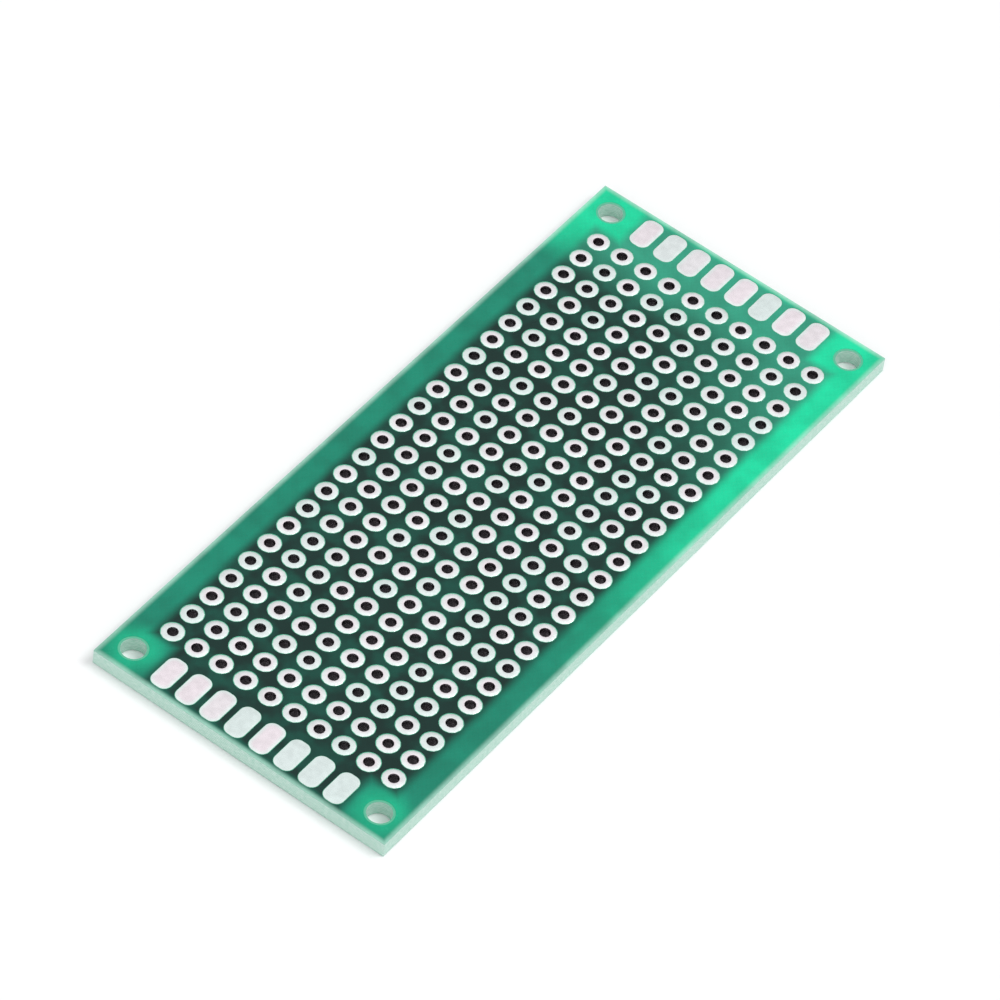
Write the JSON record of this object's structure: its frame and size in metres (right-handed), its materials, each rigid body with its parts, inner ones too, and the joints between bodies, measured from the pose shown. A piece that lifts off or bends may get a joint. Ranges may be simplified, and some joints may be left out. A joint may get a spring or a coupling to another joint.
{
  "type": "double-sided prototype board",
  "caption": "Flat rectangular prototype circuit board with a grid of tinned plated holes, edge pads at both short ends and corner mounting holes.",
  "frame": {"origin": "centre of the board in plan, on the surface that it lies on, level with the lowest points of the underside pads", "axes": "+X along the board's length, +Y across its width, +Z out of its front face"},
  "size_m": [0.07, 0.03, 0.0017],
  "materials": {
    "glass_epoxy": "pale translucent glass-epoxy laminate, cut edges slightly fibrous",
    "solder_mask": "glossy green solder mask, thin and slightly uneven",
    "tinned_copper": "bright hot-air levelled tin over copper, softly crowned"
  },
  "bodies": {
    "root": {"substrate": "glass_epoxy", "front_solder_mask": "solder_mask", "back_solder_mask": "solder_mask", "plated_holes_01": "tinned_copper", "plated_holes_02": "tinned_copper", "plated_holes_03": "tinned_copper", "plated_holes_04": "tinned_copper", "plated_holes_05": "tinned_copper", "plated_holes_06": "tinned_copper", "plated_holes_07": "tinned_copper", "plated_holes_08": "tinned_copper", "plated_holes_09": "tinned_copper", "plated_holes_10": "tinned_copper", "plated_holes_11": "tinned_copper", "plated_holes_12": "tinned_copper", "plated_holes_13": "tinned_copper", "plated_holes_14": "tinned_copper", "plated_holes_15": "tinned_copper", "plated_holes_16": "tinned_copper", "plated_holes_17": "tinned_copper", "plated_holes_18": "tinned_copper", "plated_holes_19": "tinned_copper", "plated_holes_20": "tinned_copper", "plated_holes_21": "tinned_copper", "plated_holes_22": "tinned_copper", "plated_holes_23": "tinned_copper", "plated_holes_24": "tinned_copper", "left_end_pads_1": "tinned_copper", "left_end_pads_2": "tinned_copper", "left_end_pads_3": "tinned_copper", "left_end_pads_4": "tinned_copper", "left_end_pads_5": "tinned_copper", "left_end_pads_6": "tinned_copper", "left_end_pads_7": "tinned_copper", "left_end_pads_8": "tinned_copper", "right_end_pads_1": "tinned_copper", "right_end_pads_2": "tinned_copper", "right_end_pads_3": "tinned_copper", "right_end_pads_4": "tinned_copper", "right_end_pads_5": "tinned_copper", "right_end_pads_6": "tinned_copper", "right_end_pads_7": "tinned_copper", "right_end_pads_8": "tinned_copper"}
  },
  "joints": []
}
